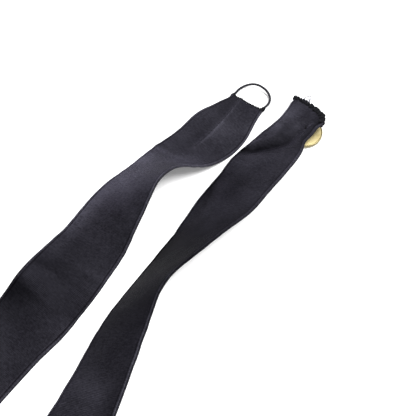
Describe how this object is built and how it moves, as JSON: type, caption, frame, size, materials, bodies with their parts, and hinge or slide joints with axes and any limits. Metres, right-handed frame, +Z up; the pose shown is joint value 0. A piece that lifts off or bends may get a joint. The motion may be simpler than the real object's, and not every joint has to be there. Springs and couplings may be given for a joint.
{
  "type": "pair of suspenders",
  "caption": "Black satin dress suspenders: two lined straps crossing in a sewn keeper, with elastic cord loops and gold buttons at their ends.",
  "frame": {"origin": "middle of the cross keeper's underside, on the surface that the suspenders lie on", "axes": "+X to the right, +Y towards the front ends of the straps, +Z up out of the satin side"},
  "size_m": [0.493, 0.4198, 0.03],
  "materials": {
    "satin": "fine ribbed satin with a soft cool sheen",
    "lining": "plain weave, matt",
    "keeper_cloth": "fine ribbed satin",
    "sewing_thread": "twisted thread, matt",
    "elastic_cord": "braided black cover over a rubber core",
    "clear_thread": "thin clear monofilament",
    "gold_metal": "pale gold, satin polish, slightly worn rim"
  },
  "bodies": {
    "keeper": {"keeper_bottom": "keeper_cloth", "keeper_top": "keeper_cloth", "keeper_stitches": "sewing_thread"},
    "left_middle": {"left_middle_satin": "satin", "left_middle_lining": "lining"},
    "right_middle": {"right_middle_satin": "satin", "right_middle_lining": "lining"},
    "left_front": {"left_front_satin": "satin", "left_front_lining": "lining", "left_front_end_stitch": "sewing_thread", "left_front_loop_tacks": "sewing_thread", "left_front_dart_stitch": "sewing_thread"},
    "left_front_loop": {"left_front_cord_loop": "elastic_cord"},
    "right_front": {"right_front_satin": "satin", "right_front_lining": "lining", "right_front_end_stitch": "sewing_thread", "right_front_thread_end": "clear_thread", "right_front_button_thread": "sewing_thread"},
    "right_front_button": {"right_front_button_shell": "gold_metal", "right_front_button_back": "gold_metal", "right_front_button_eye": "gold_metal"},
    "left_back": {"left_back_satin": "satin", "left_back_lining": "lining", "left_back_end_stitch": "sewing_thread", "left_back_button_thread": "sewing_thread"},
    "left_back_button": {"left_back_button_shell": "gold_metal", "left_back_button_back": "gold_metal", "left_back_button_eye": "gold_metal"},
    "right_back": {"right_back_satin": "satin", "right_back_lining": "lining", "right_back_end_stitch": "sewing_thread", "right_back_loop_tacks": "sewing_thread"},
    "right_back_loop": {"right_back_cord_loop": "elastic_cord"}
  },
  "joints": [
    {"name": "left_strap_turn", "type": "hinge", "parent": "keeper", "child": "left_middle", "pos_m": [0, 0, 0], "axis": [0, 0, 1], "range_deg": [0, 10]},
    {"name": "right_strap_turn", "type": "hinge", "parent": "keeper", "child": "right_middle", "pos_m": [0, 0, 0], "axis": [0, 0, 1], "range_deg": [-10, 0]},
    {"name": "left_front_fold", "type": "hinge", "parent": "left_middle", "child": "left_front", "pos_m": [0.061, 0.23, 0.00705], "axis": [0.8254, -0.5121, 0.2377], "range_deg": [0, 75]},
    {"name": "right_front_fold", "type": "hinge", "parent": "right_middle", "child": "right_front", "pos_m": [0.117, 0.237, 0.00713], "axis": [0.7745, -0.5321, 0.342], "range_deg": [0, 75]},
    {"name": "left_back_fold", "type": "hinge", "parent": "left_middle", "child": "left_back", "pos_m": [0.25, 0.112, 0.00257], "axis": [0.995, -0.072, -0.0697], "range_deg": [0, 75]},
    {"name": "right_back_fold", "type": "hinge", "parent": "right_middle", "child": "right_back", "pos_m": [-0.204, 0.134, 0.00197], "axis": [0.995, 0.0718, 0.0697], "range_deg": [0, 75]},
    {"name": "left_front_loop_swing", "type": "hinge", "parent": "left_front", "child": "left_front_loop", "pos_m": [0.12923, 0.31176, 0.00166], "axis": [0.8354, -0.5479, -0.0441], "range_deg": [-10, 70]},
    {"name": "right_back_loop_swing", "type": "hinge", "parent": "right_back", "child": "right_back_loop", "pos_m": [-0.20158, 0.27852, 0.00225], "axis": [0.9924, -0.1186, 0.0329], "range_deg": [-10, 70]},
    {"name": "right_front_button_turn", "type": "hinge", "parent": "right_front", "child": "right_front_button", "pos_m": [0.15664, 0.28364, 0.00455], "axis": [0, -0.1392, 0.9903], "range_deg": [-35, 35]},
    {"name": "left_back_button_turn", "type": "hinge", "parent": "left_back", "child": "left_back_button", "pos_m": [0.25139, 0.19408, 0.00257], "axis": [0, 0, 1], "range_deg": [-35, 35]}
  ]
}
